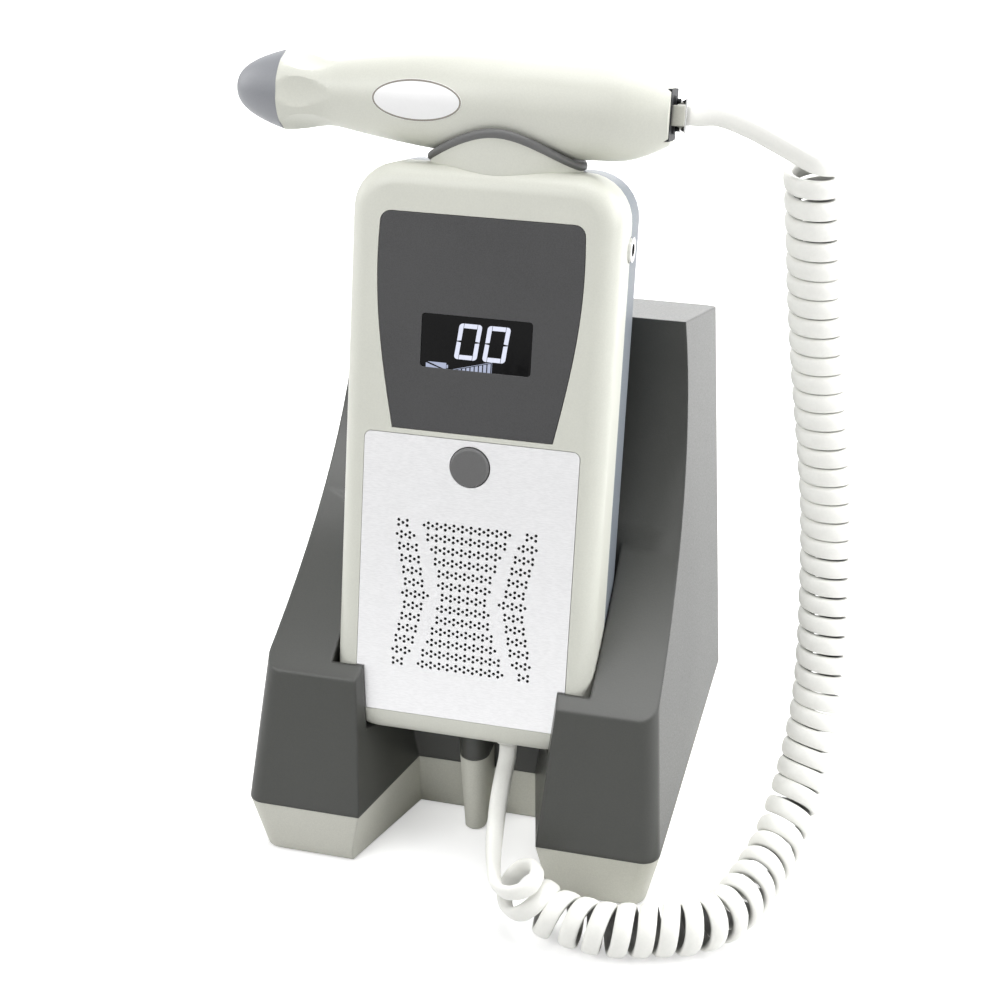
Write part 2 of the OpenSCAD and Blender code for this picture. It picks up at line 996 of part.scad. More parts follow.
module headphone_jack() {
    color("silver")
        on_handset()
            difference() {
                union() {
                    translate([handset_w / 2 - shell_wall - jack_len, front_d - 3, jack_v - 3])
                        cube([jack_len, 6, 6]);
                    translate([handset_w / 2 - shell_wall - eps, front_d, jack_v])
                        rotate([0, 90, 0])
                            cylinder(h = shell_wall + 0.8, d = jack_ring_d);
                }
                translate([handset_w / 2 - jack_len, front_d, jack_v])
                    rotate([0, 90, 0])
                        cylinder(h = jack_len + 5, d = jack_bore_d);
            }
}

module charging_contacts() {
    color("gold")
        on_handset()
            for (x = [-contact_x, contact_x])
                translate([x, contact_n, 0]) {
                    cylinder(h = shell_wall + 1, r = contact_r);
                    translate([0, 0, shell_wall])
                        cylinder(h = 1, r = contact_r + contact_rim);
                }
}

module cord_strain_relief() {
    color(cord_white)
        on_handset()
            translate([relief_x, relief_n, 0]) {
                translate([0, 0, -relief_h])
                    linear_extrude(relief_h + shell_wall + 2)
                        relief_outline();
                translate([0, 0, shell_wall])
                    linear_extrude(2)
                        relief_outline(relief_flange);
            }
}

// Saddle: an elliptic pedestal with a trough for the probe
module saddle_prism(grow, v0, v1) {
    translate([saddle_x, probe_n, v0])
        linear_extrude(v1 - v0)
            polygon(arc(0, 0, saddle_w / 2 + grow, saddle_d / 2 + grow, 0, 360 - 360 / 60, 59));
}

module trough(r) {
    translate([-saddle_w, probe_n, probe_v])
        rotate([0, 90, 0])
            cylinder(h = 2 * saddle_w, r = r);
}

module saddle() {
    color(shell_beige)
        on_handset()
            difference() {
                saddle_prism(0, handset_h - 7, probe_v - 1);
                trough(liner_r + liner_t + 0.02);
                front_form();
                rear_form();
            }
}

// The liner's rim stands out over the saddle all round
module saddle_liner() {
    color("#6A6A6A")
        on_handset()
            intersection() {
                saddle_prism(liner_proud, handset_h, probe_v - liner_end_drop);
                difference() {
                    trough(liner_r + liner_t);
                    trough(liner_r);
                }
            }
}

// Probe

// Radius along the probe: collar, waist, barrel, and the rounded shoulder at the rear end
function probe_r(x) = x < nose_len + 1.2 ? nose_d / 2
    : x < waist_x ? nose_d / 2 - 0.3
        - (nose_d / 2 - 0.3 - waist_d / 2) * smooth((x - nose_len - 1.2) / (waist_x - nose_len - 1.2))
    : x < shoulder_x ? waist_d / 2 + (barrel_d - waist_d) / 2 * sin(90 * min(1, (x - waist_x) / 46))
        - max(0, x - waist_x - 50) * 0.028
    : shoulder_r - (shoulder_r - tail_d / 2) * pow(min(1, (x - shoulder_x) / tail_len), 1.6);
shoulder_r = barrel_d / 2 - (shoulder_x - waist_x - 50) * 0.028;

module probe_profile(x0, x1, grow = 0) {
    steps = 36;
    outer = [for (i = [0:steps])
        let (x = x0 + (x1 - x0) * i / steps) [probe_r(x) + grow, x]];
    polygon(concat([[0, x0]], outer, [[0, x1]]));
}

module probe_body() {
    color(shell_beige)
        along_probe()
            difference() {
                rotate_extrude()
                    probe_profile(nose_len, probe_len);
                rotate_extrude()
                    probe_profile(nose_len + 3, probe_len - 3.5, -probe_wall);
                translate([0, 0, nose_len - 1])
                    cylinder(h = nose_spigot + 2, d = nose_d - 7);
                for (i = [0:flutes - 1])
                    rotate([0, 0, 360 * i / flutes - 90])
                        translate([probe_r(flute_x) - flute_depth + flute_r, 0, flute_x])
                            sphere(flute_r);
                translate([0, 0, probe_len])
                    cube([socket_h + 2 * fit_gap, socket_w + 2 * fit_gap, 2 * socket_t], center = true);
                translate([0, 0, probe_len - 6])
                    cylinder(h = 10, d = 4);
            }
}

// The nose cap: a blunt cone that rounds off towards its tip
module probe_nose() {
    steps = 12;
    color("#8E9095")
        along_probe()
            rotate_extrude()
                polygon(concat([[0, 0]],
                    [for (i = [1:steps])
                        let (t = pow(i / steps, 2)) [nose_d / 2 * pow(t, 0.37), nose_len * t]],
                    [[nose_d / 2 - 3.8, nose_len],
                    [nose_d / 2 - 3.8, nose_len + nose_spigot], [0, nose_len + nose_spigot]]));
}

module transducer_discs() {
    color("goldenrod")
        along_probe(nose_len + nose_spigot)
            difference() {
                cylinder(h = 1.2, d = 9);
                translate([-0.4, -6, -1])
                    cube([0.8, 12, 4]);
            }
}

module probe_board() {
    color("#2F6B45")
        along_probe(waist_x + 2)
            translate([-probe_board_w / 2, -board_t / 2, 0])
                cube([probe_board_w, board_t, shoulder_x - waist_x - 6]);
}

module probe_label() {
    color("white")
        along_probe()
            intersection() {
                difference() {
                    rotate_extrude()
                        probe_profile(label_x - 14, label_x + 14, 0.2);
                    rotate_extrude()
                        probe_profile(label_x - 15, label_x + 15);
                }
                rotate([90, 0, 0])
                    linear_extrude(40)
                        translate([0, label_x])
                            polygon(arc(0, 0, label_h / 2, label_w / 2, 0, 350, 35));
            }
}

module socket_plate() {
    color("#3F4046")
        along_probe(probe_len - socket_t)
            difference() {
                union() {
                    translate([-socket_h / 2, -socket_w / 2, 0])
                        cube([socket_h, socket_w, socket_t + socket_proud]);
                    standoffs(standoff_boss_d, socket_t, socket_proud + standoff_boss_h);
                }
                translate([-plug_h / 2 + 0.6, -plug_w / 2 + 0.6, -1])
                    cube([plug_h - 1.2, plug_w - 1.2, socket_t + 2]);
            }
}

module standoffs(d, z, h) {
    for (side = [-1, 1])
        translate([side * standoff_x, 0, z])
            cylinder(h = h, d = d, $fn = 24);
}

module socket_screws() {
    color("silver")
        along_probe(plug_start)
            standoffs(standoff_d, standoff_boss_h, plug_len - standoff_boss_h);
}

module plug() {
    color(base_beige)
        along_probe(plug_start)
            difference() {
                translate([-plug_h / 2, -plug_w / 2, 0])
                    cube([plug_h, plug_w, plug_len]);
                standoffs(standoff_boss_d + 0.3, -1, 1 + standoff_boss_h + 0.1);
            }
}

module plug_flange() {
    color("silver")
        along_probe(plug_start + plug_len)
            difference() {
                translate([-flange_h / 2, -flange_w / 2, 0])
                    cube([flange_h, flange_w, flange_t]);
                standoffs(standoff_d - 0.3, -1, 3);
            }
}

// Cord

// Where the cord leaves the handset, and where it meets the plug
relief_end = [relief_x, handset_y + relief_n * cos(lean) - relief_h * sin(lean),
    handset_z - relief_n * sin(lean) - relief_h * cos(lean)];
down_axis = [0, -sin(lean), -cos(lean)];
probe_axis_y = handset_y + probe_n * cos(lean) + probe_v * sin(lean);
probe_axis_z = handset_z - probe_n * sin(lean) + probe_v * cos(lean);
plug_end = [probe_x + plug_start + plug_len + flange_t, probe_axis_y, probe_axis_z];

// Centre of the curls, from the hanging top down to the open loop on the desk
coil_route = [[84, 21.5, 202.3], [85.2, 21.5, 189], [86.5, 21, 175], [87.8, 20.2, 161], [90.5, 18.3, 139],
    [93.7, 15.5, 117.5], [96, 13, 100], [97.5, 9.5, 80], [98.6, 4, 58], [98.5, -2, 40], [96.5, -12, 23],
    [93.8, -23, 12.5], [90.5, -36, 8.6], [84.4, -56, 8.2], [76.5, -66, 8.2], [64.4, -71, 8.2],
    [51.5, -74, 8.2], [40, -72.5, 8.2], [34.5, -71.3, 9], [28.5, -71, 12.5], [24.5, -72.5, 19]];
// Share of the coil's length that is reached at a share of its curls: tighter where it hangs
curl_spread = [[0, 0], [0.02, 0.024], [0.4, 0.37], [0.66, 0.62], [0.79, 0.77], [0.87, 0.853],
    [0.95, 0.935], [1, 1]];
// Free stretch from the plug to the first curl, and from the last curl to the handset
upper_mid = [[59.6, 20, 210.4], [67.9, 18.5, 208.1], [75, 16.8, 205.4]];
lower_mid = [[15.7, -60, 18.5], [14.4, -52, 20.2], [13.5, -45, 23.9], [13.2, -39.5, 27.6]];

function catmull(a, b, c, d, t) =
    0.5 * ((2 * b) + (c - a) * t + (2 * a - 5 * b + 4 * c - d) * t * t + (3 * b - a - 3 * c + d) * t * t * t);

function curve_points(p, steps) = [
    for (i = [0:len(p) - 2])
        for (k = [0:steps - 1])
            let (a = i > 0 ? p[i - 1] : 2 * p[0] - p[1],
                d = i < len(p) - 2 ? p[i + 2] : 2 * p[i + 1] - p[i])
            catmull(a, p[i], p[i + 1], d, k / steps),
    p[len(p) - 1]];

function run_lengths(p) = [
    for (i = 0, s = 0; i < len(p); s = s + (i + 1 < len(p) ? norm(p[i + 1] - p[i]) : 0), i = i + 1) s];

function unit(v) = v / norm(v);

// Place and direction at a length along a line of points
function axis_table(p, axis) = let (s = run_lengths(p)) [for (i = [0:len(p) - 1]) [s[i], p[i][axis]]];

coil_line = curve_points(coil_route, 8);
coil_x = axis_table(coil_line, 0);
coil_y = axis_table(coil_line, 1);
coil_z = axis_table(coil_line, 2);
coil_len = coil_x[len(coil_x) - 1][0];
function coil_centre(s) = [lookup(s, coil_x), lookup(s, coil_y), lookup(s, coil_z)];
function coil_dir(s) = unit(coil_centre(min(s + 1, coil_len)) - coil_centre(max(s - 1, 0)));

curl_r = (curl_d - cord_t) / 2;
rings_per_curl = 8;
// The strand starts at the front of the coil, just left of its middle, and ends at its left side
start_turn = -3 / 16;
end_turn = 1 / 8;
turns = curls + end_turn;
side_ref = unit([1, 1, -1]);
function coil_place(u) = coil_len * lookup(u / turns, curl_spread);
function curl_strand(u) =
    let (s = coil_place(u), t = coil_dir(s), n = unit(cross(t, side_ref)), b = cross(t, n),
        a = 360 * (u + start_turn))
    coil_centre(s) + curl_r * (cos(a) * n - sin(a) * b);

strand = [for (i = [0:turns * rings_per_curl]) curl_strand(i / rings_per_curl)];
function curl_axis(i) = coil_dir(coil_place(i / rings_per_curl));

// Rings of a flat cord: six or eight corners round each point, wide along w_dir
function ring(p, along, w_dir, w, t, sides) =
    let (a = unit(w_dir - (w_dir * along) * along), b = cross(along, a))
    [for (k = [0:sides - 1])
        let (q = 360 * k / sides, c = cos(q), s = sin(q),
            m = pow(pow(abs(c), 2.6) + pow(abs(s), 2.6), -1 / 2.6))
        p + a * (w / 2 * c * m) + b * (t / 2 * s * m)];

function tube_dir(p, i) = unit(p[min(i + 1, len(p) - 1)] - p[max(i - 1, 0)]);

module tube(rings) {
    n = len(rings);
    m = len(rings[0]);
    points = [for (r = rings) each r];
    walls = [for (i = [0:n - 2])
        for (k = [0:m - 1])
            let (a = i * m + k, b = i * m + (k + 1) % m, c = (i + 1) * m + k, d = (i + 1) * m + (k + 1) % m)
            each [[a, b, d], [a, d, c]]];
    caps = [for (k = [1:m - 2]) each [[0, k + 1, k], [(n - 1) * m, (n - 1) * m + k, (n - 1) * m + k + 1]]];
    polyhedron(points = points, faces = concat(walls, caps));
}

// The coil's two ends run straight along the strand
end_run = 3;
first_dir = unit(strand[1] - strand[0]);
last_dir = unit(strand[len(strand) - 1] - strand[len(strand) - 2]);
coil_start = strand[0] - first_dir * end_run;
coil_end = strand[len(strand) - 1] + last_dir * end_run;
coil_points = concat([coil_start], strand, [coil_end]);
coil_rings = [for (i = [0:len(coil_points) - 1])
    let (j = min(max(i - 1, 0), len(strand) - 1),
        along = i < 2 ? first_dir : i > len(coil_points) - 3 ? last_dir : tube_dir(coil_points, i))
    ring(coil_points[i], along, curl_axis(j), cord_w, cord_t, 6)];

curl_gap = min([for (i = [1:len(coil_rings) - rings_per_curl - 3])
    min([for (j = [i + rings_per_curl - 2:min(i + rings_per_curl + 2, len(coil_rings) - 1)])
        min([for (p = coil_rings[i]) min([for (q = coil_rings[j]) norm(p - q)])])])]);
echo("least gap between two curls, measured on points", curl_gap);
echo("coil start", coil_start, "direction", first_dir);
echo("coil end", coil_end, "direction", last_dir, "axis", curl_axis(len(strand) - 1));
echo("coil route length", coil_len, "pitch", coil_len / curls);

// A free stretch: straight at both ends, curved through the points between
lead_run = 4;
function lead_points(p, p_dir, mid, q, q_dir) = concat([p],
    curve_points(concat([p + p_dir * lead_run], mid, [q - q_dir * lead_run]), 5), [q]);
upper_points = lead_points(plug_end, [1, 0, 0], upper_mid, coil_start, first_dir);
lower_points = lead_points(coil_end, last_dir, lower_mid, relief_end, -down_axis);

function lead_rings(p, p_dir, q_dir, w0, w1) = [for (i = [0:len(p) - 1])
    let (f = smooth(i / (len(p) - 1)),
        along = i < 2 ? p_dir : i > len(p) - 3 ? q_dir : tube_dir(p, i))
    ring(p[i], along, w0 * (1 - f) + w1 * f, cord_w, cord_t, 8)];

module cord_upper_lead() {
    color(cord_white)
        tube(lead_rings(upper_points, [1, 0, 0], first_dir, [0, 0, -1], curl_axis(0)));
}

module cord_coil() {
    color(cord_white)
        tube(coil_rings);
}

module cord_lower_lead() {
    color(cord_white)
        tube(lead_rings(lower_points, last_dir, -down_axis, curl_axis(len(strand) - 1), [-1, 0, 0]));
}

stand_housing();
stand_base();
stand_sole();
stand_screws();
charging_board();
contact_pins();
power_inlet();
front_shell();
rear_shell();
battery_cover();
battery_cover_screw();
case_screws();
display_bezel();
display_lens();
lcd_module();
speaker_plate();
speaker_cloth();
speaker_gasket();
speaker();
main_board();
button_switch();
battery_pack();
headphone_jack();
charging_contacts();
cord_strain_relief();
saddle();
saddle_liner();
power_button();
probe_body();
probe_nose();
transducer_discs();
probe_board();
probe_label();
socket_plate();
socket_screws();
plug();
plug_flange();
cord_upper_lead();
cord_coil();
cord_lower_lead();
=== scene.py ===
"""Vascular doppler leaning in its charging stand, with a pencil probe and a curly cord.

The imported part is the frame: its rigid solids keep their place and get eased edges and moulded,
brushed or plated finishes. The cord, the lit signs, the saddle's rubber liner and the probe's label
are worked out here as arrays. Metres, +Z up, -Y towards the user.
"""

import math

import bpy
import numpy as np
from mathutils import Matrix


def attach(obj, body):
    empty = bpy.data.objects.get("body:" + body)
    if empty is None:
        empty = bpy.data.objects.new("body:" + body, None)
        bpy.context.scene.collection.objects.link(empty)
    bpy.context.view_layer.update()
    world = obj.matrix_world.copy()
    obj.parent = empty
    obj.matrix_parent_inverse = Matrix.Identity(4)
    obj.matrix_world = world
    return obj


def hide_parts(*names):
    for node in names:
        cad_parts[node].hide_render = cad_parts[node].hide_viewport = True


MM = 0.001

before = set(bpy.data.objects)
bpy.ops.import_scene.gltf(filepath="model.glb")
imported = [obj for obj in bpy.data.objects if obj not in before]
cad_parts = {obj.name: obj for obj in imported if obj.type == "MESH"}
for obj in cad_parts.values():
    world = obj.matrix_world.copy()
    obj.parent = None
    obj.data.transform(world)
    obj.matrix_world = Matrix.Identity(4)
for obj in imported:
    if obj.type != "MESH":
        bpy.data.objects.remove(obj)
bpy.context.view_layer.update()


# Camera

CAMERA_AT = (0.132726, -0.466367, 0.368565)
CAMERA_RIGHT = (0.965412, 0.260250, -0.015803)
CAMERA_DOWN = (0.113715, -0.474825, -0.872702)
CAMERA_AHEAD = (-0.234624, 0.840720, -0.487997)
LENS = 68.19
SENSOR = 36
VIEW_FROM = 0.02
VIEW_TO = 30


def place_camera():
    """The camera stands where the photograph was taken: three unit vectors give its turn."""
    data = bpy.data.cameras.new("view_camera")
    camera = bpy.data.objects.new("view_camera", data)
    bpy.context.scene.collection.objects.link(camera)
    up, back = [-c for c in CAMERA_DOWN], [-c for c in CAMERA_AHEAD]
    turn = Matrix((CAMERA_RIGHT, up, back)).transposed()
    camera.matrix_world = Matrix.Translation(CAMERA_AT) @ turn.to_4x4()
    data.lens = LENS
    data.sensor_width = SENSOR
    data.clip_start = VIEW_FROM
    data.clip_end = VIEW_TO
    bpy.context.scene.camera = camera


place_camera()


# Places in the handset's own frame: x across, depth behind the front face, height from its bottom

LEAN = math.radians(15)
HANDSET_Y = -42.633 * MM
HANDSET_Z = 40.3 * MM
# The probe's axis, its nose tip and its length, in millimetres
PROBE_DEPTH = 16.0
PROBE_HEIGHT = 180.8
PROBE_END = -77.0
PROBE_LENGTH = 124.2


def on_handset(x, depth, height):
    """Turns places on the leaning handset, in millimetres, into the part's frame, in metres."""
    x, depth, height = np.broadcast_arrays(*[np.asarray(c, float) * MM for c in (x, depth, height)])
    y = HANDSET_Y + depth * math.cos(LEAN) + height * math.sin(LEAN)
    z = HANDSET_Z - depth * math.sin(LEAN) + height * math.cos(LEAN)
    return np.stack([x, y, z], axis=-1)


# Meshes

def unit(v):
    return v / np.maximum(np.linalg.norm(v, axis=-1, keepdims=True), 1e-12)


def piece(name, points, faces, material, body, smooth=True):
    """Puts an array of points and a list of faces into a mesh that rides on a body."""
    mesh = bpy.data.meshes.new(name)
    mesh.from_pydata(np.asarray(points, float).reshape(-1, 3).tolist(), [], faces)
    mesh.polygons.foreach_set("use_smooth", [smooth] * len(mesh.polygons))
    mesh.update()
    obj = bpy.data.objects.new(name, mesh)
    bpy.context.scene.collection.objects.link(obj)
    mesh.materials.append(material)
    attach(obj, body)
    return obj


def grid_faces(rows, columns):
    """Quads between the rows of a grid whose last column meets the first."""
    r, c = np.meshgrid(np.arange(rows - 1), np.arange(columns), indexing="ij")
    a = r * columns + c
    b = r * columns + (c + 1) % columns
    return np.stack([a, b, b + columns, a + columns], axis=-1).reshape(-1, 4).tolist()


def closed_faces(rows, columns):
    """The same quads, with one flat face over the first row and one over the last."""
    last = (rows - 1) * columns
    return grid_faces(rows, columns) + [list(range(columns))[::-1], [last + k for k in range(columns)]]


# Materials

CLOUD_MM = 28.0
# A noise pattern's values lie mostly between these
PATTERN_LOW, PATTERN_HIGH = 0.35, 0.65


def new_material(name):
    material = bpy.data.materials.new(name)
    material.use_nodes = True
    nodes = material.node_tree.nodes
    shader = nodes["Principled BSDF"]
    return material, nodes, material.node_tree.links, shader


def linear(code):
    """A hex colour as linear red, green and blue."""
    v = [int(code[i:i + 2], 16) / 255 for i in (0, 2, 4)]
    return [c / 12.92 if c <= 0.04045 else ((c + 0.055) / 1.055) ** 2.4 for c in v]


def noise(nodes, links, size_mm, roughness=0.5):
    """A noise pattern on the piece's own coordinates, whose grains are about size_mm across."""
    coordinates = nodes.new("ShaderNodeTexCoord")
    pattern = nodes.new("ShaderNodeTexNoise")
    pattern.inputs["Scale"].default_value = 1 / (size_mm * MM)
    pattern.inputs["Detail"].default_value = 2.0
    pattern.inputs["Roughness"].default_value = roughness
    links.new(coordinates.outputs["Object"], pattern.inputs["Vector"])
    return pattern


def spread(nodes, links, value, low, high):
    """Maps a pattern's middle range to low and high."""
    mapped = nodes.new("ShaderNodeMapRange")
    mapped.inputs["From Min"].default_value = PATTERN_LOW
    mapped.inputs["From Max"].default_value = PATTERN_HIGH
    mapped.inputs["To Min"].default_value = low
    mapped.inputs["To Max"].default_value = high
    links.new(value, mapped.inputs["Value"])
    return mapped.outputs["Result"]


def moulded(name, code, rough=0.45, grain_mm=0.5, grain_depth=0.02, tint=0.06, sparkle=0.0,
            spec=0.5, round_mm=0.0, shade=0.0):
    """Moulded plastic: a spark-eroded grain in colour, roughness and bump, and a faint cloudiness.

    round_mm softens the light over edges and corners as the real moulding's radius does; shade is painted
    shade: how much darker the colour is made where the mesh's shade attribute is 1, on the shut-in side of
    tight curls, standing in for the shade that falls there.
    """
    material, nodes, links, shader = new_material(name)
    base = np.array(linear(code))
    fine = noise(nodes, links, grain_mm, 0.6)
    broad = noise(nodes, links, CLOUD_MM)
    mix = nodes.new("ShaderNodeMix")
    mix.data_type = "RGBA"
    mix.inputs["A"].default_value = (*(base * (1 - tint)), 1)
    mix.inputs["B"].default_value = (*np.minimum(base * (1 + tint), 1), 1)
    blend = nodes.new("ShaderNodeMath")
    blend.operation = "ADD"
    links.new(spread(nodes, links, fine.outputs["Fac"], 0.0, 0.6 + 0.3 * sparkle), blend.inputs[0])
    links.new(spread(nodes, links, broad.outputs["Fac"], 0.0, 0.4), blend.inputs[1])
    links.new(blend.outputs[0], mix.inputs["Factor"])
    colour = mix.outputs["Result"]
    # Painted shade: the colour is darkened by the mesh's attribute where the curls shut each other in
    if shade:
        painted_shade = nodes.new("ShaderNodeAttribute")
        painted_shade.attribute_name = "painted_shade"
        darker = nodes.new("ShaderNodeMix")
        darker.data_type = "RGBA"
        darker.inputs["B"].default_value = (*(base * (1 - shade)), 1)
        links.new(painted_shade.outputs["Fac"], darker.inputs["Factor"])
        links.new(colour, darker.inputs["A"])
        colour = darker.outputs["Result"]
    links.new(colour, shader.inputs["Base Color"])
    matt = spread(nodes, links, fine.outputs["Fac"], rough - 0.05, rough + 0.05)
    links.new(matt, shader.inputs["Roughness"])
    bump = nodes.new("ShaderNodeBump")
    bump.inputs["Strength"].default_value = 1.0
    bump.inputs["Distance"].default_value = grain_depth * MM
    links.new(fine.outputs["Fac"], bump.inputs["Height"])
    if round_mm:
        rounded = nodes.new("ShaderNodeBevel")
        rounded.samples = 4
        rounded.inputs["Radius"].default_value = round_mm * MM
        links.new(rounded.outputs["Normal"], bump.inputs["Normal"])
    links.new(bump.outputs["Normal"], shader.inputs["Normal"])
    shader.inputs["Specular IOR Level"].default_value = spec
    return material


def metal(name, code, rough=0.25, grain_mm=0.3, streak=1.0, depth=0.004):
    """Metal with fine grains, drawn out along X by streak."""
    material, nodes, links, shader = new_material(name)
    base = np.array(linear(code))
    coordinates = nodes.new("ShaderNodeTexCoord")
    mapping = nodes.new("ShaderNodeMapping")
    mapping.inputs["Scale"].default_value = (1 / streak, 1, 1)
    pattern = nodes.new("ShaderNodeTexNoise")
    pattern.inputs["Scale"].default_value = 1 / (grain_mm * MM)
    pattern.inputs["Detail"].default_value = 3.0
    links.new(coordinates.outputs["Object"], mapping.inputs["Vector"])
    links.new(mapping.outputs["Vector"], pattern.inputs["Vector"])
    mix = nodes.new("ShaderNodeMix")
    mix.data_type = "RGBA"
    mix.inputs["A"].default_value = (*(base * 0.96), 1)
    mix.inputs["B"].default_value = (*np.minimum(base * 1.03, 1), 1)
    links.new(spread(nodes, links, pattern.outputs["Fac"], 0.0, 1.0), mix.inputs["Factor"])
    links.new(mix.outputs["Result"], shader.inputs["Base Color"])
    matt = spread(nodes, links, pattern.outputs["Fac"], rough - 0.04, rough + 0.04)
    links.new(matt, shader.inputs["Roughness"])
    shader.inputs["Metallic"].default_value = 1.0
    bump = nodes.new("ShaderNodeBump")
    bump.inputs["Distance"].default_value = depth * MM
    links.new(pattern.outputs["Fac"], bump.inputs["Height"])
    links.new(bump.outputs["Normal"], shader.inputs["Normal"])
    return material


def lit(name, code, strength):
    """A lit part of the display, a little uneven over its surface."""
    material, nodes, links, shader = new_material(name)
    pattern = noise(nodes, links, 1.2)
    shader.inputs["Base Color"].default_value = (0.02, 0.02, 0.025, 1)
    shader.inputs["Emission Color"].default_value = (*linear(code), 1)
    glow = spread(nodes, links, pattern.outputs["Fac"], strength * 0.93, strength)
    links.new(glow, shader.inputs["Emission Strength"])
    shader.inputs["Roughness"].default_value = 0.4
    return material


FINISH = {
    "housing": moulded("housing_plastic", "444542", 0.34, 0.45, 0.02, round_mm=1.2),
    "base": moulded("base_plastic", "CFCFC5", 0.42, 0.45, 0.012, round_mm=1.0),
    "shell": moulded("shell_plastic", "DADBD1", 0.40, 0.5, 0.012, 0.03),
    "rear": moulded("rear_plastic", "757C84", 0.42, 0.5, 0.012),
    "bezel": moulded("bezel_film", "404041", 0.42, 0.28, 0.03, 0.16, 1.0),
    "liner": moulded("liner_rubber", "6A6A6A", 0.5, 0.4, 0.02),
    "button": moulded("button_rubber", "656565", 0.5, 0.4, 0.015),
    "nose": moulded("nose_plastic", "8E9095", 0.38, 0.6, 0.008, 0.03),
    "label": moulded("label_film", "FBFBFB", 0.35, 0.8, 0.003, 0.01),
    "label_ink": moulded("label_ink", "8D887E", 0.45, 0.5, 0.003, 0.05),
    # The cord's jacket carries painted shade inside the curls: shade=0.75 darkens it there
    "cord": moulded("cord_jacket", "F6F6F1", 0.42, 0.8, 0.006, 0.02, shade=0.75),
    "socket": moulded("socket_paint", "26272A", 0.5, 0.4, 0.006, spec=0.3),
    "cloth": moulded("cloth_weave", "0B0B0C", 0.9, 0.3, 0.02),
    "dark": moulded("dark_plastic", "2A2A2A", 0.5, 0.4, 0.01),
    "sole": moulded("sole_rubber", "3A3A3A", 0.7, 0.5, 0.03),
    "board": moulded("board_mask", "2F6B45", 0.35, 0.5, 0.006),
    "battery": moulded("battery_film", "2E5FA3", 0.3, 0.8, 0.006),
    "gold": metal("gold_plate", "E6C77A", 0.25),
    "steel": metal("screw_steel", "C8C8C8", 0.3),
    "chrome": metal("chrome_plate", "DADADA", 0.12),
    "plate": metal("plate_silver", "EDEDEE", 0.34, 0.25, 6.0),
    "window": moulded("window_plastic", "050506", 0.2, 2.0, 0.001, 0.05, 0.0, 0.2),
    "digits": lit("lit_digits", "E4E8FA", 1.0),
    "signs": lit("lit_signs", "C3CCE8", 0.75),
}

NODE_FINISH = {
    "stand_housing": "housing", "stand_base": "base", "stand_sole": "sole", "stand_screws": "steel",
    "charging_board": "board", "contact_pins": "gold", "power_inlet": "dark", "front_shell": "shell",
    "rear_shell": "rear", "battery_cover": "rear", "battery_cover_screw": "steel", "case_screws": "steel",
    "display_bezel": "bezel", "display_lens": "window", "lcd_module": "dark", "speaker_plate": "plate",
    "speaker_gasket": "sole", "speaker": "dark", "speaker_cloth": "cloth", "main_board": "board",
    "button_switch": "dark", "battery_pack": "battery", "headphone_jack": "chrome",
    "charging_contacts": "gold", "cord_strain_relief": "cord", "saddle": "shell", "saddle_liner": "liner",
    "power_button": "button", "probe_body": "shell", "probe_nose": "nose", "transducer_discs": "gold",
    "probe_board": "board", "probe_label": "label", "socket_plate": "socket", "socket_screws": "chrome",
    "plug": "base", "plug_flange": "chrome",
}

MERGE_WITHIN = 1e-6
FLAT_WITHIN = math.radians(0.6)
EASE_OVER = math.radians(32)
# How much the edges of a solid are eased, in millimetres; the others get none
EASED = {
    "stand_housing": 0.5, "stand_base": 0.4, "front_shell": 0.25, "rear_shell": 0.25, "display_bezel": 0.12,
    "speaker_plate": 0.1, "saddle": 0.3, "saddle_liner": 0.2, "probe_body": 0.15, "probe_nose": 0.15,
    "power_button": 0.1, "headphone_jack": 0.25, "cord_strain_relief": 0.4, "plug": 0.3, "plug_flange": 0.1,
    "battery_cover": 0.2, "socket_plate": 0.1, "stand_sole": 0.2,
}


def dress(name):
    """Gives a solid of the frame its finish; live modifiers merge, ease and smooth it."""
    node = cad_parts[name]
    node.data.materials.clear()
    node.data.materials.append(FINISH[NODE_FINISH[name]])
    node.data.polygons.foreach_set("use_smooth", [True] * len(node.data.polygons))
    weld = node.modifiers.new("merge", "WELD")
    weld.merge_threshold = MERGE_WITHIN
    flat = node.modifiers.new("flat", "DECIMATE")
    flat.decimate_type = "DISSOLVE"
    flat.angle_limit = FLAT_WITHIN
    if name in EASED:
        bevel = node.modifiers.new("ease", "BEVEL")
        bevel.width = EASED[name] * MM
        bevel.segments = 2
        bevel.limit_method = "ANGLE"
        bevel.angle_limit = EASE_OVER
        bevel.harden_normals = False
    weights = node.modifiers.new("shade", "WEIGHTED_NORMAL")
    weights.keep_sharp = True


for node_name in NODE_FINISH:
    dress(node_name)


# Cord: one flat strand from the handset's bottom through fifty curls to the plug, in millimetres

CORD_WIDTH = 5.2
CORD_THICK = 2.9
SECTION_POWER = 2.6
CURL_DIAMETER = 15.5
CURLS = 50
CURL_RADIUS = (CURL_DIAMETER - CORD_THICK) / 2
START_TURN = -3 / 16
TURNS = CURLS + 1 / 8
SIDE_REF = unit(np.array([1.0, 1.0, -1.0]))
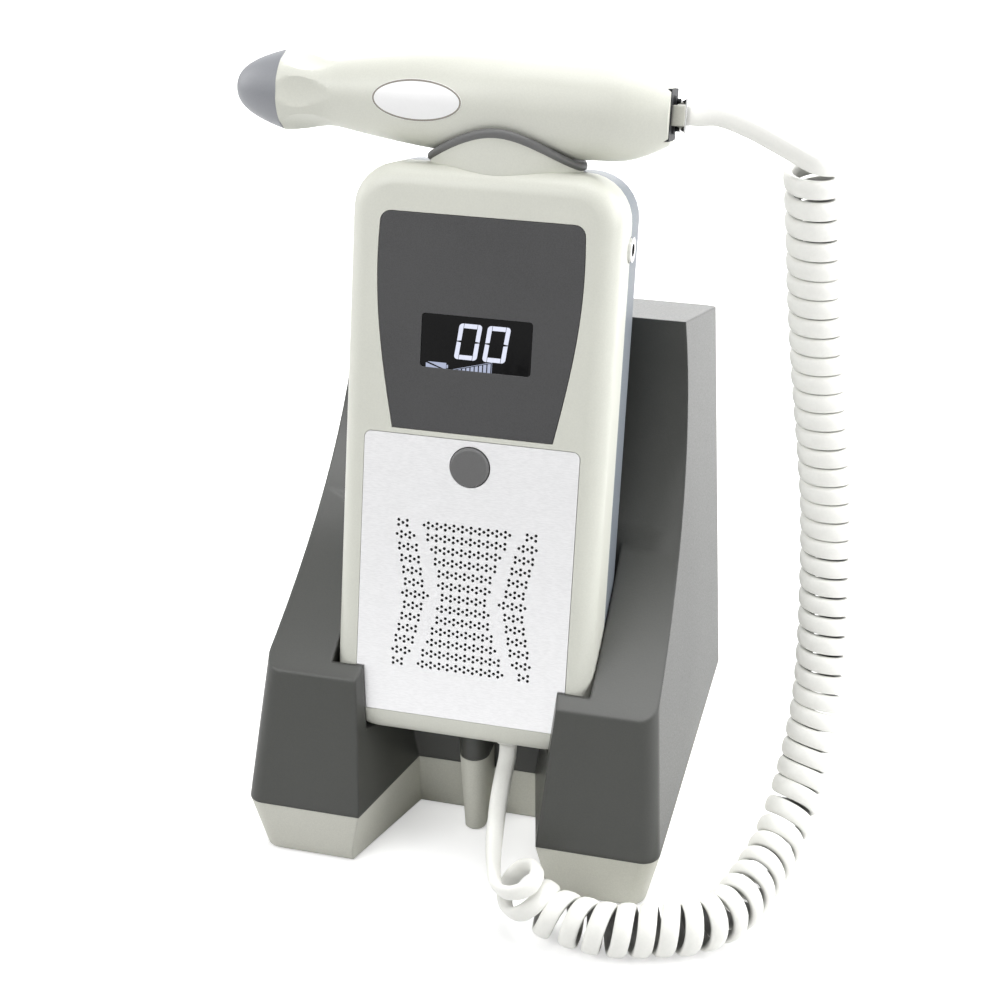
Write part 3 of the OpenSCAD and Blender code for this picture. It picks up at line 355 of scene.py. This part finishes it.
# The coil's middle line, and the share of it that each share of the turns has covered
COIL_ROUTE = [
    [84, 21.5, 202.3], [85.2, 21.5, 189], [86.5, 21, 175], [87.8, 20.2, 161], [90.5, 18.3, 139],
    [93.7, 15.5, 117.5], [96, 13, 100], [97.5, 9.5, 80], [98.6, 4, 58], [98.5, -2, 40], [96.5, -12, 23],
    [93.8, -23, 12.5], [90.5, -36, 8.6], [84.4, -56, 8.2], [76.5, -66, 8.2], [64.4, -71, 8.2],
    [51.5, -74, 8.2], [40, -72.5, 8.2], [34.5, -71.3, 9], [28.5, -71, 12.5], [24.5, -72.5, 19],
]
CURL_SPREAD = np.array([[0, 0], [0.02, 0.0252], [0.04, 0.0455], [0.08, 0.083], [0.24, 0.227], [0.4, 0.37],
                        [0.66, 0.62], [0.79, 0.77], [0.87, 0.853], [0.95, 0.935], [1, 1]])
UPPER_MIDDLE = [[59.7, 18.9, 211.4], [68, 18, 209], [76.2, 17, 205.5], [81.7, 16.2, 203], [86.4, 16, 200.9]]
LOWER_MIDDLE = [[16.5, -64, 17.6], [14.9, -57.5, 17.7], [13.7, -50, 20.7], [13.2, -43.3, 26.2]]
# Turns at which the leads leave the helix
UPPER_JOIN = 0.3
LOWER_JOIN = TURNS - 0.1
FIRST_DROP = 2.0
LAST_LIFT = 3.4
LAST_OUT = 2.4
# Both ends: where the strand meets the relief and the plug, and how far it runs straight from there
RELIEF = on_handset(13.3, 9.0, -1.5) / MM
RELIEF_RUN = 4 * np.array([0, -math.sin(LEAN), -math.cos(LEAN)])
PLUG_REACH = 3.9
PLUG_END = on_handset(PROBE_END + PROBE_LENGTH + PLUG_REACH, PROBE_DEPTH, PROBE_HEIGHT) / MM
PLUG_RUN = np.array([3.5, 0, 0])
PLUG_FLAT = [0, -0.45, -0.89]
ROUTE_STEPS = 8
LEAD_STEPS = 12
CURL_STEPS = 36
RING_STEP = 1.05
RING_SIDES = 14
# The painted shade's share on a curl's edges, between its outer face and its shut-in face
PAINTED_SHADE_EDGE = 0.4


def smooth_line(points, steps):
    """A curve through the points: each stretch is the cubic through its ends with the neighbours' slopes."""
    p = np.asarray(points, float)
    p = np.vstack([2 * p[0] - p[1], p, 2 * p[-1] - p[-2]])
    a, b, c, d = (p[i:len(p) - 3 + i, None] for i in range(4))
    t = np.linspace(0, 1, steps, endpoint=False)[None, :, None]
    square, cube = 2 * a - 5 * b + 4 * c - d, 3 * b - a - 3 * c + d
    line = 0.5 * (2 * b + (c - a) * t + square * t ** 2 + cube * t ** 3)
    return np.vstack([line.reshape(-1, 3), p[-2]])


def lengths(line):
    return np.concatenate([[0], np.cumsum(np.linalg.norm(np.diff(line, axis=0), axis=1))])


COIL_LINE = smooth_line(COIL_ROUTE, ROUTE_STEPS)
COIL_AT = lengths(COIL_LINE)


def coil_centre(s):
    return np.stack([np.interp(s, COIL_AT, COIL_LINE[:, k]) for k in range(3)], axis=-1)


def coil_axis(s):
    """Direction of the coil's middle line, averaged over two millimetres."""
    s = np.asarray(s, float)
    return unit(coil_centre(np.minimum(s + 1, COIL_AT[-1])) - coil_centre(np.maximum(s - 1, 0)))


def coil_place(u):
    """How far along the coil's middle line the strand is after u turns: tighter where it hangs."""
    return COIL_AT[-1] * np.interp(np.asarray(u, float) / TURNS, CURL_SPREAD[:, 0], CURL_SPREAD[:, 1])


def eased(t):
    """A smooth step from 0 to 1: 3t^2 - 2t^3."""
    t = np.clip(t, 0, 1)
    return t * t * (3 - 2 * t)


def curl(u):
    """Where the strand is after u turns: a left-handed circle round the coil's moving axis.

    The first turn is pulled down onto the next; the last one opens to the left and stands higher.
    """
    u = np.asarray(u, float)
    s = coil_place(u)
    t = coil_axis(s)
    n = unit(np.cross(t, SIDE_REF))
    b = np.cross(t, n)
    a = 2 * np.pi * (u + START_TURN)
    place = coil_centre(s) + CURL_RADIUS * (np.cos(a)[..., None] * n - np.sin(a)[..., None] * b)
    lift = LAST_LIFT * eased((u - TURNS + 1.35) / 0.9) - FIRST_DROP * np.clip(1 - u, 0, 1)
    left = LAST_OUT * np.clip(1 - np.abs(u - TURNS + 0.9) / 0.5, 0, 1)
    return place + np.stack([-left, 0 * lift, lift], axis=-1)


def evened(line, across, coiled, step):
    """The line, the directions on it and its coiled share again, with points about step apart."""
    at = lengths(line)
    new = np.linspace(0, at[-1], int(at[-1] / step) + 1)
    again = [np.stack([np.interp(new, at, v[:, k]) for k in range(3)], axis=1) for v in (line, across)]
    return again[0], unit(again[1]), np.interp(new, at, coiled)


def softened(values, rounds):
    """Repeated averages with both neighbours; the ends stay."""
    for _ in range(rounds):
        values[1:-1] = 0.25 * values[:-2] + 0.5 * values[1:-1] + 0.25 * values[2:]
    return values


def turned(start, end, count):
    """Directions that turn from start to end in a smooth step."""
    share = eased(np.linspace(0, 1, count))[:, None]
    return (1 - share) * np.array(start, float) + share * np.array(end, float)


def cord_route():
    """The strand's middle line from the handset to the plug, in millimetres, and at each point the
    direction of its flat width and its coiled share, from 0 on the leads to 1 on the curls.

    Both leads meet the helix on points of its own, so that they leave it without a kink.
    """
    u = np.linspace(UPPER_JOIN, LOWER_JOIN, CURLS * CURL_STEPS)
    upper = smooth_line([PLUG_END, PLUG_END + PLUG_RUN, *UPPER_MIDDLE, curl(UPPER_JOIN - 0.04)], LEAD_STEPS)
    lower = smooth_line([curl(LOWER_JOIN + 0.03), curl(LOWER_JOIN + 0.08), *LOWER_MIDDLE,
                         RELIEF + RELIEF_RUN, RELIEF], LEAD_STEPS)
    upper_flat = turned(PLUG_FLAT, coil_axis(coil_place(UPPER_JOIN)), len(upper))
    lower_flat = turned(coil_axis(coil_place(LOWER_JOIN)), [-1, 0, 0], len(lower))
    line = np.vstack([upper, curl(u), lower])[::-1]
    across = np.vstack([upper_flat, coil_axis(coil_place(u)), lower_flat])[::-1]
    share = eased(u - UPPER_JOIN) * eased(TURNS - 0.5 - u)
    coiled = np.concatenate([np.zeros(len(upper)), share, np.zeros(len(lower))])[::-1]
    line, across, coiled = evened(line, across, coiled, RING_STEP)
    return softened(line, 3), softened(across, 6), coiled


def flat_tube(line, across, width, thick, sides):
    """Rings of a flat section with round edges, carried along the line: |x|^p + |y|^p = 1, stretched."""
    ahead = unit(np.gradient(line, axis=0))
    a = unit(across - (across * ahead).sum(1, keepdims=True) * ahead)
    b = np.cross(ahead, a)
    q = 2 * np.pi * np.arange(sides) / sides
    m = (np.abs(np.cos(q)) ** SECTION_POWER + np.abs(np.sin(q)) ** SECTION_POWER) ** (-1 / SECTION_POWER)
    x, y = width / 2 * np.cos(q) * m, thick / 2 * np.sin(q) * m
    return line[:, None] + a[:, None] * x[:, None] + b[:, None] * y[:, None]


def make_cord():
    """Its shade attribute is painted shade: it grows from 0 on a curl's outer face, over its edges, to 1 on
    the face towards the coil's middle, where the curls shade each other.
    """
    line, across, coiled = cord_route()
    rings = flat_tube(line, across, CORD_WIDTH, CORD_THICK, RING_SIDES)
    faces = closed_faces(len(rings), RING_SIDES)
    cord = piece("curly_cord", rings * MM, faces, FINISH["cord"], "stand")
    outward = np.sin(2 * np.pi * np.arange(RING_SIDES) / RING_SIDES)
    # painted shade: strongest on the faces towards the coil's middle, some on the edges, none on the leads
    painted_shade = coiled[:, None] * np.clip(PAINTED_SHADE_EDGE - outward, 0, 1)
    cord.data.attributes.new("painted_shade", "FLOAT", "POINT").data.foreach_set("value", painted_shade.ravel())
    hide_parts("cord_upper_lead", "cord_coil", "cord_lower_lead")


make_cord()


# Lit signs: thin plates just in front of the display's lens, as (x, height) outlines on the handset

SIGN_DEPTH = 0.27
SIGN_LAYER = 0.03
DIGIT_W = 6.5
DIGIT_H = 10.0
STROKE = 1.25
CORNER_R = 1.0
BAR_GAP = 0.14
SLANT = 0.13
SIGNS_AT = 108.75
LEVEL_BARS = 9


def plates(name, outlines, material):
    """Closed plates from anticlockwise outlines: a front face, a back face and a wall of quads each."""
    points, faces, start = [], [], 0
    for outline in outlines:
        o = np.array(outline, float)
        n = len(o)
        points.append(on_handset(o[:, 0], SIGN_DEPTH - SIGN_LAYER, o[:, 1]))
        points.append(on_handset(o[:, 0], SIGN_DEPTH, o[:, 1]))
        faces.append([start + k for k in range(n)])
        faces.append([start + n + k for k in range(n)][::-1])
        faces += [[start + (k + 1) % n, start + k, start + n + k, start + n + (k + 1) % n] for k in range(n)]
        start += 2 * n
    return piece(name, np.vstack(points), faces, material, "handset", smooth=False)


def slanted(outline, left, bottom):
    """An outline moved to its place on the display, leaning right by SLANT of its height."""
    o = np.array(outline, float)
    return np.stack([left + o[:, 0] + SLANT * o[:, 1], bottom + o[:, 1]], axis=1)


def zero(left, bottom):
    """Six lit bars: two above each other on either side, with round outer corners, one at top and bottom."""
    turn = np.radians(np.linspace(0, 90, 6))
    corner = CORNER_R * np.stack([1 - np.sin(turn), np.cos(turn) - 1], axis=1)
    side = np.vstack([[[0.05, DIGIT_H / 2 + 0.12], [STROKE, DIGIT_H / 2 + 0.3], [STROKE, DIGIT_H]],
                      corner + [0, DIGIT_H]])
    left_end, right_end = STROKE + BAR_GAP, DIGIT_W - STROKE - BAR_GAP
    bar = np.array([[left_end, DIGIT_H - STROKE], [right_end, DIGIT_H - STROKE],
                    [right_end, DIGIT_H], [left_end, DIGIT_H]])
    upper = [side, bar, (side * [-1, 1] + [DIGIT_W, 0])[::-1]]
    lower = [(o * [1, -1] + [0, DIGIT_H])[::-1] for o in upper]
    return [slanted(o, left, bottom) for o in upper + lower]


def level_bars():
    """Bars that rise to the right under a thin sloping line, with an upright line at their right."""
    x = -6.0 + 1.19 * np.arange(LEVEL_BARS)
    top = 109.1 + 0.272 * (x + 6.3)
    bars = [[[a, SIGNS_AT], [a + 0.86, SIGNS_AT], [a + 0.86, t - 0.1], [a, t - 0.3]] for a, t in zip(x, top)]
    slope = [[-6.3, 108.98], [4.75, 112.0], [4.75, 112.14], [-6.3, 109.12]]
    upright = [[4.68, SIGNS_AT], [4.78, SIGNS_AT], [4.78, 112.0], [4.68, 112.0]]
    return bars + [slope, upright]


def battery_sign():
    """A small battery, crossed by a dark slanting line."""
    below = [[-14.1, 108.8], [-9.3, 108.8], [-14.1, 110.35]]
    above = [[-8.25, 108.8], [-8.25, 110.7], [-13.6, 110.7]]
    tip = [[-8.15, 109.3], [-7.7, 109.3], [-7.7, 110.2], [-8.15, 110.2]]
    return [below, above, tip]


plates("lit_digits", zero(-6.2, 112.1) + zero(1.85, 112.1), FINISH["digits"])
plates("lit_signs", battery_sign() + level_bars(), FINISH["signs"])


# Saddle liner: a sheet of rubber in the trough, with a round bead along its oval rim

AROUND = 96
SADDLE_X = 2.0
LINER_R = 15.4
SHEET_HALF = 0.75
BEAD_R = 1.15
RIM = (21.3, 13.7)
SHARES = (0.02, 0.3, 0.6, 0.8, 0.9)


def make_liner():
    """Ovals on a trough of radius LINER_R round the probe's axis, each a share of the rim's size.

    From the middle of the underside out to the rim, round a bead of BEAD_R, and back over the upper
    side: below is how far an oval lies under the sheet's middle, out how far it stands past the rim.
    """
    turn = 2 * np.pi * np.arange(AROUND) / AROUND
    under = [(share, SHEET_HALF, 0.0) for share in SHARES]
    bead = [(1.0, BEAD_R * math.sin(a), BEAD_R * math.cos(a)) for a in np.radians(np.linspace(100, -100, 13))]
    upper = [(share, -SHEET_HALF, 0.0) for share in SHARES[::-1]]
    rows = []
    for share, below, out in under + bead + upper:
        x = SADDLE_X + (RIM[0] * share + out) * np.cos(turn)
        r = LINER_R + below
        lean_in = np.arcsin(RIM[1] * share * np.sin(turn) / LINER_R) + out * np.sin(turn) / LINER_R
        rows.append(on_handset(x, PROBE_DEPTH + r * np.sin(lean_in), PROBE_HEIGHT - r * np.cos(lean_in)))
    faces = closed_faces(len(rows), AROUND)
    liner = piece("rubber_liner", np.array(rows), faces, FINISH["liner"], "handset")
    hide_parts("saddle_liner")


make_liner()


# Probe label: a bare oval film with a thin printed rim, wrapped on the grip

# Its middle from the nose tip, and its half length and half height, in millimetres
LABEL_AT = 56.2
LABEL_SIZE = (13.0, 5.6)
WAIST_AT = 29.0
SWELL = 46.0
WAIST_R = 9.1
BARREL_R = 14.2
FILM_UNDER = 0.02
FILM_TOP = 0.2
INK_TOP = 0.23


def barrel(x):
    """Radius of the probe's grip at x from the nose: from the waist it swells along a quarter sine."""
    return WAIST_R + (BARREL_R - WAIST_R) * np.sin(np.pi / 2 * np.clip((x - WAIST_AT) / SWELL, 0, 1))


def wrapped_oval(name, rings, faces, material):
    """Rings of an oval on the grip, each inset from its edge and standing off the grip, in millimetres.

    Near the edge a ring runs parallel to it; further in it is the same oval, smaller.
    """
    turn = 2 * np.pi * np.arange(AROUND) / AROUND
    rows = []
    for inset, stand in rings:
        along = LABEL_SIZE[0] - inset
        up = LABEL_SIZE[1] - inset if inset < 1 else LABEL_SIZE[1] * along / LABEL_SIZE[0]
        x = LABEL_AT + along * np.cos(turn)
        h = up * np.sin(turn)
        r = barrel(x) + stand
        rows.append(on_handset(PROBE_END + x, PROBE_DEPTH - np.sqrt(r * r - h * h), PROBE_HEIGHT + h))
    return piece(name, np.array(rows), faces(len(rings), AROUND), material, "probe")


def make_label():
    insets = (3, 6, 9, 12.97)
    under = [(inset, FILM_UNDER) for inset in insets[::-1]]
    edge = [(0.0, FILM_UNDER), (0.0, 0.16), (0.06, FILM_TOP), (0.6, FILM_TOP)]
    top = [(inset, FILM_TOP) for inset in insets]
    film = wrapped_oval("label_film", under + edge + top, closed_faces, FINISH["label"])
    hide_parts("probe_label")
    ink = [(0.08, FILM_TOP), (0.1, INK_TOP), (0.55, INK_TOP), (0.57, FILM_TOP), (0.08, FILM_TOP)]
    wrapped_oval("label_rim", ink, grid_faces, FINISH["label_ink"])


make_label()


# Stage: floor, world and lamps

FLOOR_HALF = 8.0
PAPER = 0.86
PAPER_GLOW = 0.45
WORLD_LIGHT = 0.03
LAMP_AIM = (0, 0, 0.1)
# Name, place, width in metres and power in watts
LAMPS = [
    ("rear_lamp", (-0.1, 1.3, 0.7), 0.8, 12),
    ("right_rear_lamp", (0.85, 0.85, 0.8), 0.8, 13),
    ("top_lamp", (0.1, 0.15, 1.5), 0.9, 12.5),
    ("left_front_lamp", (-0.75, -0.95, 1.15), 0.8, 11.5),
    ("right_lamp", (1.15, 0.0, 0.55), 0.8, 9),
    ("left_lamp", (-1.15, 0.1, 0.5), 0.8, 4),
]


def stage_floor():
    """White paper: seen by the camera it glows a little, so that it is white beyond the soft shadow."""
    material, nodes, links, shader = new_material("floor_paper")
    shader.inputs["Base Color"].default_value = (PAPER, PAPER, PAPER, 1)
    shader.inputs["Roughness"].default_value = 0.9
    shader.inputs["Specular IOR Level"].default_value = 0.1
    shader.inputs["Emission Color"].default_value = (1, 1, 1, 1)
    path = nodes.new("ShaderNodeLightPath")
    glow = nodes.new("ShaderNodeMath")
    glow.operation = "MULTIPLY"
    glow.inputs[1].default_value = PAPER_GLOW
    links.new(path.outputs["Is Camera Ray"], glow.inputs[0])
    links.new(glow.outputs[0], shader.inputs["Emission Strength"])
    mesh = bpy.data.meshes.new("floor")
    corners = [(x * FLOOR_HALF, y * FLOOR_HALF, 0) for x, y in ((-1, -1), (1, -1), (1, 1), (-1, 1))]
    mesh.from_pydata(corners, [], [(0, 1, 2, 3)])
    floor = bpy.data.objects.new("floor", mesh)
    bpy.context.scene.collection.objects.link(floor)
    mesh.materials.append(material)


def world_light(strength):
    """Plain white all round: full white where the camera, a mirror or a glass sees it, weaker as light."""
    world = bpy.data.worlds.new("studio")
    bpy.context.scene.world = world
    world.use_nodes = True
    nodes, links = world.node_tree.nodes, world.node_tree.links
    background = nodes["Background"]
    background.inputs["Color"].default_value = (1, 1, 1, 1)
    path = nodes.new("ShaderNodeLightPath")
    seen = nodes.new("ShaderNodeMath")
    seen.operation = "MAXIMUM"
    links.new(path.outputs["Is Camera Ray"], seen.inputs[0])
    through = nodes.new("ShaderNodeMath")
    through.operation = "MAXIMUM"
    links.new(path.outputs["Is Glossy Ray"], through.inputs[0])
    links.new(path.outputs["Is Transmission Ray"], through.inputs[1])
    links.new(through.outputs[0], seen.inputs[1])
    level = nodes.new("ShaderNodeMapRange")
    level.inputs["To Min"].default_value = strength
    level.inputs["To Max"].default_value = 1.0
    links.new(seen.outputs[0], level.inputs["Value"])
    links.new(level.outputs["Result"], background.inputs["Strength"])


def lamp(name, at, size, power):
    """A square soft lamp that looks at the middle of the object."""
    data = bpy.data.lights.new(name, "AREA")
    data.shape = "SQUARE"
    data.size = size
    data.energy = power
    obj = bpy.data.objects.new(name, data)
    bpy.context.scene.collection.objects.link(obj)
    back = unit(np.array(at, float) - np.array(LAMP_AIM, float))
    side = unit(np.cross([0, 0, 1.0], back))
    up = np.cross(back, side)
    obj.matrix_world = Matrix.Translation(at) @ Matrix((side, up, back)).transposed().to_4x4()


stage_floor()
world_light(WORLD_LIGHT)
for lamp_row in LAMPS:
    lamp(*lamp_row)

bpy.context.scene.view_settings.view_transform = "Standard"
